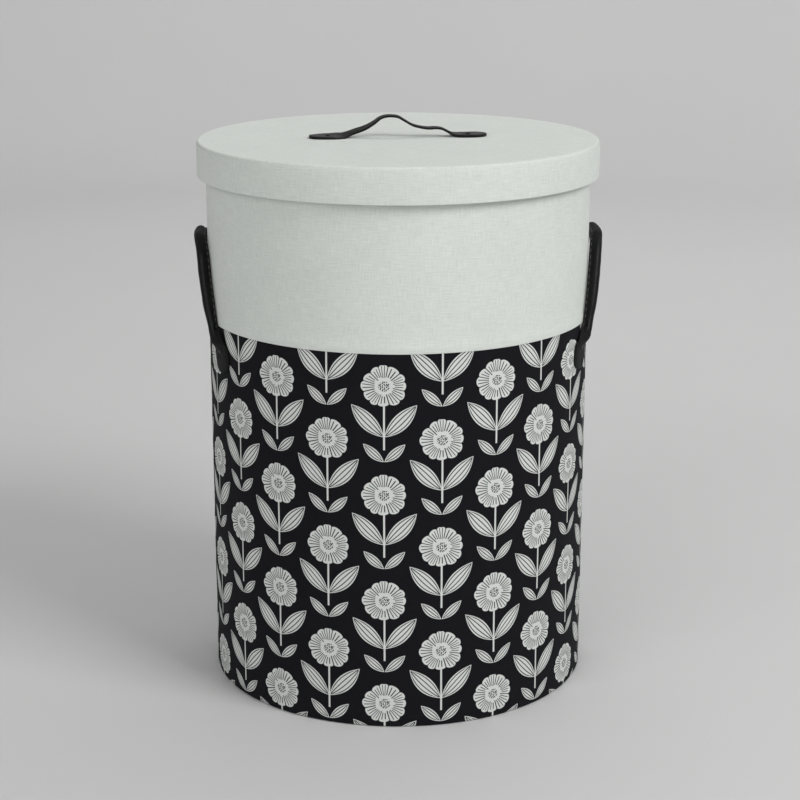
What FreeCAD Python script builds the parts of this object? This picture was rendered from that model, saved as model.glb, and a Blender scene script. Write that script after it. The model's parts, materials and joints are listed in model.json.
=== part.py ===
"""A round cloth-covered hat box: a board tube with a lift-off lid, a leather strap on the lid and two
rolled leather carrying handles. Millimetres, +Z up, origin at the centre of the underside."""

import FreeCAD, Part
import Sketcher
import math
import os
import re

from FreeCAD import Placement, Rotation, Vector

os.makedirs("parts", exist_ok=True)
doc = FreeCAD.newDocument("HatBox")

# ---------------------------------------------------------------- driving dimensions
SIZES = {
    # body of the box
    "wall_diameter": 348,  # outside of the bare board tube
    "wall_thickness": 3,
    "rim_height": 496.8,  # top of the board tube
    "base_thickness": 3,
    "floor_liner_thickness": 1.5,
    "floor_liner_gap": 0.1,
    "lining_thickness": 0.4,
    "print_thickness": 0.5,
    "linen_depth": 148.8,  # from the rim down to the print's top edge
    "print_turn_under": 18,
    "linen_thickness": 0.6,
    "linen_lap": 6.3,  # how far the linen laps down over the print
    "linen_turn_in": 22,
    "paper_thickness": 0.4,
    "paper_inset": 6.5,
    "foot_edge_radius": 1.1,
    # lid
    "lid_gap": 2.2,  # all round between the body's linen and the lid's turned-in cloth
    "lid_wall_thickness": 4,
    "lid_top_thickness": 3,
    "lid_depth": 31.7,
    "band_turn_in": 12,
    "band_setback": 2.6,  # top edge of the side band below the lid's top
    "lid_edge_radius": 1.4,
    # carrying handles
    "grip_radius": 4.4,
    "grip_leather": 1.3,
    "grip_standoff": 2.6,  # between the linen and the rolled grip
    "seam_thickness": 2.6,
    "seam_gap": 0.6,  # between the linen and the seam flange
    "neck_spread": 130,  # between the two necks of a handle
    "neck_drop": 160.8,  # from the rim down to the fold that a handle swings about
    "neck_gap": 2,
    "handle_rise": 81,  # from the fold to the middle of the grip's top run
    "leg_lean": 22,  # of a handle's legs towards each other
    "tab_lean": 12.5,
    "shoulder_radius": 28,
    "cord_gap": 0.1,  # between the leather sleeve and its cord
    "cord_end_inset": 6,
    "stitch_pitch": 6,
    "thread_radius": 0.4,
    # flat ends of the handle leather
    "tab_thickness": 2.2,
    "tab_width": 25,
    "tab_length": 33,
    "tab_neck_width": 13,
    "tab_shoulder": 9,
    "tab_tip_radius": 11,
    # strap on the lid
    "strap_span": 162,
    "strap_width": 23,  # across the flat ends
    "strap_waist": 13,  # across the bowed middle
    "strap_end_length": 27,
    "strap_thickness": 2.6,
    "strap_rise": 18.2,  # from the flat ends to the crest
    "strap_corner_radius": 9,
    "strap_waist_radius": 4,
    "strap_end_bend": 0.38,  # share of the widest bend, so that the ends lie flat under their rivets
    "strap_turn": 3.4,  # the lid stands turned by this many degrees
    "strap_rivet_inset": 17,
    # rivets and washers
    "rivet_radius": 1.5,
    "rivet_head_radius": 2.6,
    "rivet_head_height": 0.9,
    "rivet_clench_radius": 2.3,
    "rivet_clench_height": 0.7,
    "rivet_hole_gap": 0.05,
    "washer_radius": 6,
    "washer_thickness": 0.8,
    "tab_rivet_drop": 16,  # below the fold
}

# Radii (from the box's axis) and heights that follow from the sizes above.
DERIVED = {
    "wall_out": "wall_diameter / 2",
    "wall_in": "wall_out - wall_thickness",
    "lining_in": "wall_in - lining_thickness",
    "print_out": "wall_out + print_thickness",
    "linen_out": "wall_out + linen_thickness",
    "lap_out": "print_out + linen_thickness",
    "linen_in": "wall_in - linen_thickness",
    "board_foot": "paper_thickness + print_thickness",
    "base_top": "board_foot + base_thickness",
    "print_top": "rim_height - linen_depth",
    "linen_foot": "print_top - linen_lap",
    "rim_top": "rim_height + linen_thickness",
    "turn_in_foot": "rim_top - linen_turn_in",
    "band_in": "linen_out + lid_gap",
    "ring_in": "band_in + linen_thickness",
    "lid_lining_in": "ring_in - lining_thickness",
    "ring_out": "ring_in + lid_wall_thickness",
    "lid_cover_out": "ring_out + linen_thickness",
    "band_out": "lid_cover_out + linen_thickness",
    "ring_top": "rim_top + lining_thickness",
    "lid_board_top": "ring_top + lid_top_thickness",
    "lid_top": "lid_board_top + linen_thickness",
    "band_foot": "lid_top - lid_depth",
    "ring_foot": "band_foot + linen_thickness",
    "band_turn_top": "ring_foot + band_turn_in",
    "band_top": "lid_top - band_setback",
    "tab_out": "print_out + tab_thickness",
    "grip_line": "lap_out + grip_standoff + grip_radius",
    "seam_in": "lap_out + seam_gap",
    "neck_half": "neck_spread / 2",
    "neck_height": "rim_height - neck_drop",
    "tab_rivet_y": "neck_half + tab_rivet_drop * tan(tab_lean * 1deg)",
    "washer_seat": "sqrt(lining_in ^ 2 - washer_radius ^ 2)",
    "tab_stack": "tab_out - washer_seat + washer_thickness",
    "strap_stack": "strap_thickness + lid_top - rim_top + washer_thickness",
    "strap_rivet_x": "strap_span / 2 - strap_rivet_inset",
    "strap_top": "lid_top + strap_thickness",
}

sheet = doc.addObject("Spreadsheet::Sheet", "Dimensions")
for row, (alias, number) in enumerate(SIZES.items(), start=1):
    sheet.set(f"A{row}", alias)
    sheet.set(f"B{row}", str(number))
    sheet.setAlias(f"B{row}", alias)
doc.recompute()


def bound(text):
    """An expression in plain names, written out in the sheet's own aliases."""

    def word(match):
        name = match.group(0)
        if name in DERIVED:
            return f"({bound(DERIVED[name])})"
        return f"Dimensions.{name}" if name in SIZES else name

    return re.sub(r"(?<![\w.])[a-z][a-z_]*", word, text)


def value(text):
    """The number that such an expression has now."""
    result = sheet.evalExpression(bound(text))
    return float(getattr(result, "Value", result))


# ---------------------------------------------------------------- how pieces are drawn
def origin_plane(body, role):
    return next(f for f in body.Origin.OriginFeatures if f.Role == role)


def polygon_sketch(body, plane, corners, name):
    """A closed polygon on one of the body's origin planes; each corner is a pair of expressions."""
    sketch = body.newObject("Sketcher::SketchObject", name)
    sketch.AttachmentSupport = [(origin_plane(body, plane), "")]
    sketch.MapMode = "FlatFace"
    at = [Vector(value(a), value(b), 0) for a, b in corners]
    for start, end in zip(at, at[1:] + at[:1]):
        sketch.addGeometry(Part.LineSegment(start, end))
    for i in range(len(at)):
        sketch.addConstraint(Sketcher.Constraint("Coincident", i, 2, (i + 1) % len(at), 1))
    for i, (point, pair) in enumerate(zip(at, corners)):
        for kind, axis, place, text in zip(("DistanceX", "DistanceY"), (-2, -1), point, pair):
            if text == "0":
                sketch.addConstraint(Sketcher.Constraint("PointOnObject", i, 1, axis))
            else:
                index = sketch.addConstraint(Sketcher.Constraint(kind, -1, 1, i, 1, place))
                sketch.setExpression(f"Constraints[{index}]", bound(text))
    return sketch


def turned(name, corners):
    """A body turned about the Z axis from a polygon of (radius, height) expressions."""
    body = doc.addObject("PartDesign::Body", name)
    sketch = polygon_sketch(body, "XZ_Plane", corners, f"{name}_profile")
    revolution = body.newObject("PartDesign::Revolution", f"{name}_turned")
    revolution.Profile = sketch
    revolution.ReferenceAxis = (sketch, ["V_Axis"])
    revolution.Angle = 360
    sketch.Visibility = False
    return body


def round_edges(body, circles, radius):
    """Fillets the body's circular edges at the given (radius, height) expressions."""
    doc.recompute()
    base = body.Tip
    wanted = [(round(value(r), 4), round(value(z), 4)) for r, z in circles]
    names = [
        f"Edge{i}"
        for i, edge in enumerate(base.Shape.Edges, start=1)
        if isinstance(edge.Curve, Part.Circle)
        and (round(edge.Curve.Radius, 4), round(edge.Curve.Center.z, 4)) in wanted
    ]
    fillet = body.newObject("PartDesign::Fillet", f"{body.Name}_rounding")
    fillet.Base = (base, names)
    fillet.setExpression("Radius", bound(radius))
    return body


def mirrored(name, source, normal):
    mirror = doc.addObject("Part::Mirroring", name)
    mirror.Source = source
    mirror.Normal = normal
    return mirror


def group(name, members):
    compound = doc.addObject("Part::Compound", name)
    compound.Links = members
    return compound


def pierced(name, blank, drill):
    cut = doc.addObject("Part::Cut", name)
    cut.Base = blank
    cut.Tool = drill
    return cut


def cylinder(name, radius, height, foot):
    """A Part cylinder about the Z axis from the height foot upwards."""
    solid = doc.addObject("Part::Cylinder", name)
    solid.setExpression("Radius", bound(radius))
    solid.setExpression("Height", bound(height))
    solid.setExpression("Placement.Base.z", bound(foot))
    return solid


def rounded_path(points, radii):
    """The wire through the points in straight runs, each corner an arc tangent to its two runs."""
    edges, start = [], points[0]
    for before, corner, after, radius in zip(points, points[1:], points[2:], radii):
        inward, outward = (before - corner).normalize(), (after - corner).normalize()
        half_turn = (math.pi - inward.getAngle(outward)) / 2
        reach = radius * math.tan(half_turn)
        middle = (inward + outward).normalize() * (radius / math.cos(half_turn) - radius)
        edges.append(Part.LineSegment(start, corner + inward * reach).toShape())
        edges.append(Part.Arc(corner + inward * reach, corner + middle, corner + outward * reach).toShape())
        start = corner + outward * reach
    edges.append(Part.LineSegment(start, points[-1]).toShape())
    return Part.Wire(edges)


def widest_radii(points):
    """For each inner corner of the path, the largest arc that leaves a tenth of each run straight."""
    radii = []
    for before, corner, after in zip(points, points[1:], points[2:]):
        inward, outward = before - corner, after - corner
        half_turn = (math.pi - inward.getAngle(outward)) / 2
        radii.append(0.45 * min(inward.Length, outward.Length) / math.tan(half_turn))
    return radii


def band(path, thickness):
    """The flat strip of that thickness along a wire that lies in one plane."""
    side = path.makeOffset2D(-thickness / 2, openResult=True)
    return side.makeOffset2D(thickness, openResult=True, fill=True)


def swept(path, radius):
    """A round bar along a wire."""
    first = path.OrderedEdges[0]
    start = path.OrderedVertexes[0].Point
    section = Part.Wire(Part.Circle(start, first.tangentAt(first.FirstParameter), radius).toShape())
    return path.makePipeShell([section], True, False)


def feature(name, shape):
    piece = doc.addObject("Part::Feature", name)
    piece.Shape = shape
    return piece


NODES = []


def node(piece, name):
    """Marks a finished piece of the box and gives it the name of its file."""
    piece.Label = name
    NODES.append(piece)


# ---------------------------------------------------------------- rivets and what they need
def rivet(name, stack):
    """A domed rivet along Z: its shank runs up from 0 by the stack to the head, and a clench is below."""
    return turned(
        name,
        [
            ("0", "0 - rivet_clench_height"),
            ("rivet_clench_radius", "0 - rivet_clench_height"),
            ("rivet_clench_radius", "0"),
            ("rivet_radius", "0"),
            ("rivet_radius", stack),
            ("rivet_head_radius", stack),
            ("rivet_head_radius * 0.6", f"{stack} + rivet_head_height"),
            ("0", f"{stack} + rivet_head_height"),
        ],
    )


def washer(name):
    """A flat ring along Z, standing on 0."""
    return turned(
        name,
        [
            ("rivet_radius + rivet_hole_gap", "0"),
            ("washer_radius", "0"),
            ("washer_radius", "washer_thickness"),
            ("rivet_radius + rivet_hole_gap", "washer_thickness"),
        ],
    )


def drill_bit(name):
    """A drill along Z for a rivet's hole, from 0 up."""
    bit = doc.addObject("Part::Cylinder", name)
    bit.setExpression("Radius", bound("rivet_radius + rivet_hole_gap"))
    bit.setExpression("Height", bound("4 * washer_radius"))
    return bit


def at_tab(piece, reach):
    """Turns a piece made along Z to lie along the right front tab's rivet, its 0 that far from the axis."""
    angle = -math.asin(value("tab_rivet_y") / value("print_out"))
    outward = Vector(math.cos(angle), math.sin(angle), 0)
    piece.Placement = Placement(
        outward * value(reach) + Vector(0, 0, value("neck_height - tab_rivet_drop")),
        Rotation(Vector(0, 0, 1), outward),
    )
    return piece


def at_strap(piece, height):
    """Stands a piece made along Z at the strap's right rivet, its 0 at that height."""
    turn = math.radians(value("strap_turn"))
    reach = value("strap_rivet_x")
    foot = Vector(reach * math.cos(turn), reach * math.sin(turn), value(height))
    piece.Placement = Placement(foot, Rotation())
    return piece


def around_axis(name, source):
    """A copy of the strap's right piece at the strap's other end."""
    across = doc.addObject("Part::Mirroring", f"{name}_across")
    across.Source = source
    across.Normal = Vector(1, 0, 0)
    return mirrored(name, across, Vector(0, 1, 0))


front_bit = at_tab(drill_bit("tab_bit_front"), "print_out - 2 * washer_radius")
right_bits = group("tab_bits_right", [front_bit, mirrored("tab_bit_rear", front_bit, Vector(0, 1, 0))])
tab_bits = group("tab_bits", [right_bits, mirrored("tab_bits_left", right_bits, Vector(1, 0, 0))])
strap_bit = at_strap(drill_bit("strap_bit_right"), "lid_top - 2 * washer_radius")
strap_bits = group("strap_bits", [strap_bit, around_axis("strap_bit_left", strap_bit)])

# ---------------------------------------------------------------- body of the box
# The tube is rolled greyboard. The base disc is glued inside its foot.
wall = turned(
    "wall_blank",
    [
        ("wall_in", "board_foot"),
        ("wall_out", "board_foot"),
        ("wall_out", "rim_height"),
        ("wall_in", "rim_height"),
    ],
)
round_edges(wall, [("wall_out", "board_foot")], "foot_edge_radius")
node(pierced("Wall", wall, tab_bits), "wall_board")

base = turned(
    "Base", [("0", "board_foot"), ("wall_in", "board_foot"), ("wall_in", "base_top"), ("0", "base_top")]
)
node(base, "base_board")

paper = turned(
    "Paper",
    [
        ("0", "0"),
        ("wall_out - paper_inset", "0"),
        ("wall_out - paper_inset", "paper_thickness"),
        ("0", "paper_thickness"),
    ],
)
node(paper, "underside_paper")

# The printed cotton covers the tube and is turned under the base; the linen laps over its top edge
# and goes over the rim to the inside.
print_blank = turned(
    "print_blank",
    [
        ("wall_out", "print_top"),
        ("wall_out", "board_foot"),
        ("wall_out - print_turn_under", "board_foot"),
        ("wall_out - print_turn_under", "paper_thickness"),
        ("print_out", "paper_thickness"),
        ("print_out", "print_top"),
    ],
)
round_edges(print_blank, [("wall_out", "board_foot")], "foot_edge_radius")
round_edges(print_blank, [("print_out", "paper_thickness")], "foot_edge_radius + print_thickness")
node(pierced("PrintedCover", print_blank, tab_bits), "printed_cover")

linen = turned(
    "LinenCover",
    [
        ("lap_out", "linen_foot"),
        ("lap_out", "print_top"),
        ("linen_out", "print_top + 2 * linen_thickness"),
        ("linen_out", "rim_top"),
        ("linen_in", "rim_top"),
        ("linen_in", "turn_in_foot"),
        ("wall_in", "turn_in_foot"),
        ("wall_in", "rim_height"),
        ("wall_out", "rim_height"),
        ("wall_out", "print_top"),
        ("print_out", "print_top"),
        ("print_out", "linen_foot"),
    ],
)
node(linen, "linen_cover")

# Inside: a paper lining up to the linen's turned-in edge, and a lined card on the floor.
lining = turned(
    "lining_blank",
    [
        ("lining_in", "base_top"),
        ("wall_in", "base_top"),
        ("wall_in", "turn_in_foot"),
        ("lining_in", "turn_in_foot"),
    ],
)
node(pierced("WallLining", lining, tab_bits), "wall_lining")

liner = turned(
    "FloorLiner",
    [
        ("0", "base_top"),
        ("lining_in - floor_liner_gap", "base_top"),
        ("lining_in - floor_liner_gap", "base_top + floor_liner_thickness"),
        ("0", "base_top + floor_liner_thickness"),
    ],
)
node(liner, "floor_liner")

# ---------------------------------------------------------------- flat ends of the handle leather
# Each tab is a tongue that leans less than the grip's leg above it and lies round the printed cotton.
tongue = doc.addObject("PartDesign::Body", "tab_tongue")
outline = polygon_sketch(
    tongue,
    "YZ_Plane",
    [
        ("0 - tab_neck_width / 2", "0"),
        ("0 - tab_width / 2", "0 - tab_shoulder"),
        ("0 - tab_width / 2", "0 - tab_length"),
        ("tab_width / 2", "0 - tab_length"),
        ("tab_width / 2", "0 - tab_shoulder"),
        ("tab_neck_width / 2", "0"),
    ],
    "tab_outline",
)
outline.AttachmentOffset = Placement(
    Vector(-value("neck_half"), value("neck_height - neck_gap"), 0),
    Rotation(Vector(0, 0, 1), -value("tab_lean")),
)
pad = tongue.newObject("PartDesign::Pad", "tab_pad")
pad.Profile = outline
pad.setExpression("Length", bound("wall_diameter"))
doc.recompute()
tip_corners = [Vector(side * value("tab_width / 2"), -value("tab_length"), 0) for side in (-1, 1)]
tip_line = [outline.Placement.multVec(corner) for corner in tip_corners]
tip_edges = [
    f"Edge{i}"
    for i, edge in enumerate(pad.Shape.Edges, start=1)
    if any(abs(v.Point.y - p.y) + abs(v.Point.z - p.z) < 1e-4 for p in tip_line for v in edge.Vertexes[:1])
    and abs(edge.Vertexes[0].Point.x - edge.Vertexes[-1].Point.x) > 1
]
tip = tongue.newObject("PartDesign::Fillet", "tab_tip")
tip.Base = (pad, tip_edges)
tip.setExpression("Radius", bound("tab_tip_radius"))
outline.Visibility = False

sleeve_height = "tab_length * 2"
sleeve_foot = "neck_height - tab_length * 1.5"
sleeve = pierced(
    "tab_sleeve",
    cylinder("tab_sleeve_outside", "tab_out", sleeve_height, sleeve_foot),
    cylinder("tab_sleeve_inside", "print_out", sleeve_height, sleeve_foot),
)
tab_blank = doc.addObject("Part::Common", "tab_blank")
tab_blank.Base = sleeve
tab_blank.Tool = tongue
right_front = pierced("RightFrontTab", tab_blank, front_bit)
right_rear = mirrored("RightRearTab", right_front, Vector(0, 1, 0))
node(right_front, "right_front_tab")
node(right_rear, "right_rear_tab")
node(mirrored("LeftFrontTab", right_front, Vector(1, 0, 0)), "left_front_tab")
node(mirrored("LeftRearTab", right_rear, Vector(1, 0, 0)), "left_rear_tab")

tab_rivet = at_tab(rivet("tab_rivet", "tab_stack"), "washer_seat - washer_thickness")
tab_washer = at_tab(washer("tab_washer"), "washer_seat - washer_thickness")
for label, piece in (("rivets", tab_rivet), ("washers", tab_washer)):
    pair = group(f"RightTab_{label}", [piece, mirrored(f"tab_rear_{label}", piece, Vector(0, 1, 0))])
    node(pair, f"right_tab_{label}")
    node(mirrored(f"LeftTab_{label}", pair, Vector(1, 0, 0)), f"left_tab_{label}")

# ---------------------------------------------------------------- rolled carrying handles
# Seen from the side a grip is an arch: two legs that lean towards each other, two round shoulders and
# a level top. It stands on a cylinder about the box's axis, so that it follows the wall.
grip_line = value("grip_line")
lean = math.radians(value("leg_lean"))
neck_y, foot_z = value("neck_half"), value("neck_height + neck_gap")
top_z = value("neck_height + handle_rise")
corner_y = neck_y - (top_z - foot_z) * math.tan(lean)
shoulder = value("shoulder_radius")


def on_grip_line(y, z):
    return Vector(math.sqrt(grip_line**2 - y**2), y, z)


def shoulder_points(steps=3):
    """The corners of the open polygon around the front shoulder's arc, from the leg to the top run."""
    turn = math.pi / 2 - lean
    reach = shoulder * math.tan(turn / 2)
    centre_y = corner_y - reach
    centre_z = top_z - shoulder
    corners = []
    for i in range(steps):
        at = -lean + turn * (i + 0.5) / steps + 2 * lean
        far = shoulder / math.cos(turn / steps / 2)
        corners.append((centre_y + far * math.cos(at), centre_z + far * math.sin(at)))
    return corners


def grip_path(inset):
    """The grip's middle line, from one neck over the top to the other, each end shortened by the inset."""
    leg = [(neck_y, foot_z)] + shoulder_points()
    whole = leg + [(0, top_z)] + [(-y, z) for y, z in reversed(leg)]
    points = [on_grip_line(y, z) for y, z in whole]
    radii = widest_radii(points)
    for end, inner in ((0, 1), (-1, -2)):
        points[end] += (points[inner] - points[end]).normalize() * inset
    return rounded_path(points, radii)


side_view = [
    Vector(0, neck_y, foot_z),
    Vector(0, corner_y, top_z),
    Vector(0, -corner_y, top_z),
    Vector(0, -neck_y, foot_z),
]
side_path = rounded_path(side_view, [shoulder, shoulder])
tube = swept(grip_path(0), value("grip_radius"))
bore = swept(grip_path(0), value("grip_radius - grip_leather"))
slab = band(side_path, value("seam_thickness")).extrude(Vector(grip_line, 0, 0))
ring_height = top_z - foot_z + 2 * shoulder
ring_foot = Vector(0, 0, foot_z - shoulder)
ring = Part.makeCylinder(grip_line, ring_height, ring_foot).cut(
    Part.makeCylinder(value("seam_in"), ring_height, ring_foot)
)
seam = slab.common(ring)

# Threads pass straight through the seam flange, evenly along it and half way across it.
thread_y_reach = value("seam_thickness / 2 + thread_radius")
thread_count = int(side_path.Length // value("stitch_pitch"))
thread_line = (value("seam_in") + grip_line - value("grip_radius")) / 2
threads = []
for spot in side_path.discretize(thread_count)[1:-1]:
    edge = min(side_path.Edges, key=lambda e, p=spot: e.distToShape(Part.Vertex(p))[0])
    along = edge.tangentAt(edge.Curve.parameter(spot))
    across = along.cross(Vector(1, 0, 0)).normalize()
    middle = Vector(math.sqrt(thread_line**2 - spot.y**2), spot.y, spot.z)
    start = middle - across * thread_y_reach
    threads.append(Part.makeCylinder(value("thread_radius"), 2 * thread_y_reach, start, across))
thread_group = Part.makeCompound(threads)

right_grip = feature("RightGripLeather", tube.fuse(seam).cut(bore).cut(thread_group))
cord_radius = value("grip_radius - grip_leather - cord_gap")
right_cord = feature("RightGripCord", swept(grip_path(value("cord_end_inset")), cord_radius))
right_thread = feature("RightGripStitching", thread_group)
for label, piece in (("leather", right_grip), ("cord", right_cord), ("stitching", right_thread)):
    node(piece, f"right_grip_{label}")
    node(mirrored(f"LeftGrip_{label}", piece, Vector(1, 0, 0)), f"left_grip_{label}")

# ---------------------------------------------------------------- lid
ring_blank = turned(
    "LidRim",
    [("ring_in", "ring_foot"), ("ring_out", "ring_foot"), ("ring_out", "ring_top"), ("ring_in", "ring_top")],
)
node(ring_blank, "lid_rim_board")

top_board = turned(
    "top_board_blank",
    [("0", "ring_top"), ("ring_out", "ring_top"), ("ring_out", "lid_board_top"), ("0", "lid_board_top")],
)
round_edges(top_board, [("ring_out", "lid_board_top")], "lid_edge_radius")
node(pierced("LidTop", top_board, strap_bits), "lid_top_board")

# The top's linen is turned down the whole rim, and the side band covers it and is turned inside.
top_linen = turned(
    "top_linen_blank",
    [
        ("0", "lid_board_top"),
        ("ring_out", "lid_board_top"),
        ("ring_out", "ring_foot"),
        ("lid_cover_out", "ring_foot"),
        ("lid_cover_out", "lid_top"),
        ("0", "lid_top"),
    ],
)
round_edges(top_linen, [("ring_out", "lid_board_top")], "lid_edge_radius")
round_edges(top_linen, [("lid_cover_out", "lid_top")], "lid_edge_radius + linen_thickness")
node(pierced("LidTopCover", top_linen, strap_bits), "lid_top_cover")

side_band = turned(
    "LidSideBand",
    [
        ("band_in", "band_foot"),
        ("band_out", "band_foot"),
        ("band_out", "band_top"),
        ("lid_cover_out", "band_top"),
        ("lid_cover_out", "ring_foot"),
        ("ring_in", "ring_foot"),
        ("ring_in", "band_turn_top"),
        ("band_in", "band_turn_top"),
    ],
)
node(side_band, "lid_side_band")

top_lining = turned(
    "top_lining_blank", [("0", "rim_top"), ("ring_in", "rim_top"), ("ring_in", "ring_top"), ("0", "ring_top")]
)
node(pierced("LidTopLining", top_lining, strap_bits), "lid_top_lining")

rim_lining = turned(
    "LidRimLining",
    [
        ("lid_lining_in", "band_turn_top"),
        ("ring_in", "band_turn_top"),
        ("ring_in", "rim_top"),
        ("lid_lining_in", "rim_top"),
    ],
)
node(rim_lining, "lid_rim_lining")

# ---------------------------------------------------------------- strap on the lid
# The strap is longer than its span, so it bows up into an uneven wave between its riveted ends.
# Each corner of the wave is a share of the half span and of the rise.
STRAP_WAVE = [
    (-1, 0),
    (-0.70, 0),
    (-0.32, 0.55),
    (-0.17, 1),
    (0.01, 0.95),
    (0.22, 0.38),
    (0.37, 0.33),
    (0.53, 0.46),
    (0.66, 0),
    (1, 0),
]
half_span, rise = value("strap_span / 2"), value("strap_rise")
flat_z = value("lid_top + strap_thickness / 2")
wave = [Vector(share * half_span, 0, flat_z + up * rise) for share, up in STRAP_WAVE]
bends = widest_radii(wave)
for end in (0, -1):
    bends[end] *= value("strap_end_bend")
strap_band = band(rounded_path(wave, bends), value("strap_thickness"))
strap_width = value("strap_width")
strap_strip = strap_band.extrude(Vector(0, strap_width, 0)).translated(Vector(0, -strap_width / 2, 0))


def strap_plan():
    """Upright block with the strap's outline from above: a narrow middle between two wide ends."""
    waist, end = value("strap_waist"), value("strap_end_length")
    foot, tall = value("lid_top") - rise, 3 * rise
    block = Part.makeBox(2 * half_span - end, waist, tall, Vector(end / 2 - half_span, -waist / 2, foot))
    for left in (-half_span, half_span - end):
        block = block.fuse(Part.makeBox(end, strap_width, tall, Vector(left, -strap_width / 2, foot)))
    block = block.removeSplitter()
    for radius, outer in ((value("strap_corner_radius"), True), (value("strap_waist_radius"), False)):
        upright = [
            e
            for e in block.Edges
            if abs(e.tangentAt(e.FirstParameter).z) > 0.9
            and isinstance(e.Curve, Part.Line)
            and (abs(e.Vertexes[0].Point.x) > half_span - 0.01) == outer
            and (outer or abs(abs(e.Vertexes[0].Point.y) - waist / 2) < 0.01)
        ]
        block = block.makeFillet(radius, upright)
    return block


strap_shape = strap_strip.common(strap_plan())
strap_shape.rotate(Vector(0, 0, 0), Vector(0, 0, 1), value("strap_turn"))
node(pierced("LidStrap", feature("strap_blank", strap_shape), strap_bits), "lid_strap")

strap_rivet = at_strap(rivet("strap_rivet", "strap_stack"), "rim_top - washer_thickness")
strap_washer = at_strap(washer("strap_washer"), "rim_top - washer_thickness")
for label, piece in (("rivets", strap_rivet), ("washers", strap_washer)):
    node(group(f"Strap_{label}", [piece, around_axis(f"strap_left_{label}", piece)]), f"strap_{label}")

# ---------------------------------------------------------------- checks and files
doc.recompute()
for item in doc.Objects:
    if {"Invalid", "Error"} & set(item.State):
        raise RuntimeError(f"{item.Name} failed: {item.State}")
for piece in NODES:
    shape = piece.Shape
    if shape.isNull() or not shape.isValid() or shape.Volume <= 0:
        raise RuntimeError(f"{piece.Label} is not a sound solid")
for piece in NODES:
    piece.Shape.exportStep(f"parts/{piece.Label}.step")
print(f"{len(NODES)} nodes")
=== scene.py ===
"""A round hat box: greyboard tube and lid, printed cotton and white linen outside, black leather handles.

Metres, +Z up, the box standing on 0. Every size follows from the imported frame's own node boxes.
"""

import json
import math

import bmesh
import bpy
import mathutils
import numpy as np
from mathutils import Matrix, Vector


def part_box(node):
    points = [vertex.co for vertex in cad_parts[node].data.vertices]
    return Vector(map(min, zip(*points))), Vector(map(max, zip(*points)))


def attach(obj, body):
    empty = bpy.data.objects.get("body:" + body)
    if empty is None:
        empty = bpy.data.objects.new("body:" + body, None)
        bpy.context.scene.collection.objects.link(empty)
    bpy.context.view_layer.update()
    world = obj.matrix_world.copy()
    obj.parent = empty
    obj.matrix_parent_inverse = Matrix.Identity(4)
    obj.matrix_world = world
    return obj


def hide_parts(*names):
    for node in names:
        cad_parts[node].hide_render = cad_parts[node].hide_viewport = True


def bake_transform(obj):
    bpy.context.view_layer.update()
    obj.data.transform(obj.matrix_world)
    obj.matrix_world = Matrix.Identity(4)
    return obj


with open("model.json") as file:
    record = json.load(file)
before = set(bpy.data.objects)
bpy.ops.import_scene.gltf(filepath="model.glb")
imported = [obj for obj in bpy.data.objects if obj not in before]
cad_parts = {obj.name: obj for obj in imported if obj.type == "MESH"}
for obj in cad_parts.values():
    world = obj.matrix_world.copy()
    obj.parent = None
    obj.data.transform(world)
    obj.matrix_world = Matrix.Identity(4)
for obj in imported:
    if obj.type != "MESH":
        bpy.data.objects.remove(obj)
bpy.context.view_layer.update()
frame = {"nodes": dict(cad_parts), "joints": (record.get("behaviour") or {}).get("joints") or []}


# ------------------------------------------------------------------ greyboard
# The tube, base disc, lid disc and lid ring are rolled or die-cut greyboard, about 3 mm thick.
# They keep the frame's shapes; only their cut edges would ever show, grey-brown and fibrous.
class Signal:
    """One output of a finish's graph. Arithmetic on it adds Math nodes to that graph."""

    def __init__(self, finish, socket):
        self.finish, self.socket = finish, socket

    def math(self, operation, *others, first=None):
        """A Math node on this and the others, or on first and the others."""
        numbers = [self if first is None else first, *others]
        return self.finish.node("ShaderNodeMath", {"operation": operation}, dict(enumerate(numbers)))

    def __add__(self, other):
        return self.math("ADD", other)

    __radd__ = __add__

    def __sub__(self, other):
        return self.math("SUBTRACT", other)

    def __rsub__(self, other):
        return self.math("SUBTRACT", self, first=other)

    def __mul__(self, other):
        return self.math("MULTIPLY", other)

    __rmul__ = __mul__

    def __truediv__(self, other):
        return self.math("DIVIDE", other)

    def __mod__(self, other):
        return self.math("FLOORED_MODULO", other)

    def __abs__(self):
        return self.math("ABSOLUTE")

    def __lt__(self, other):
        return self.math("LESS_THAN", other)

    def __gt__(self, other):
        return self.math("GREATER_THAN", other)

    def below(self, edge, soft):
        """1 where this is under the edge and 0 over it, with a ramp soft wide between."""
        ramp = {0: self, 1: edge - soft / 2, 2: edge + soft / 2, 3: 1.0, 4: 0.0}
        return self.finish.node("ShaderNodeMapRange", {"clamp": True}, ramp)


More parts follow.
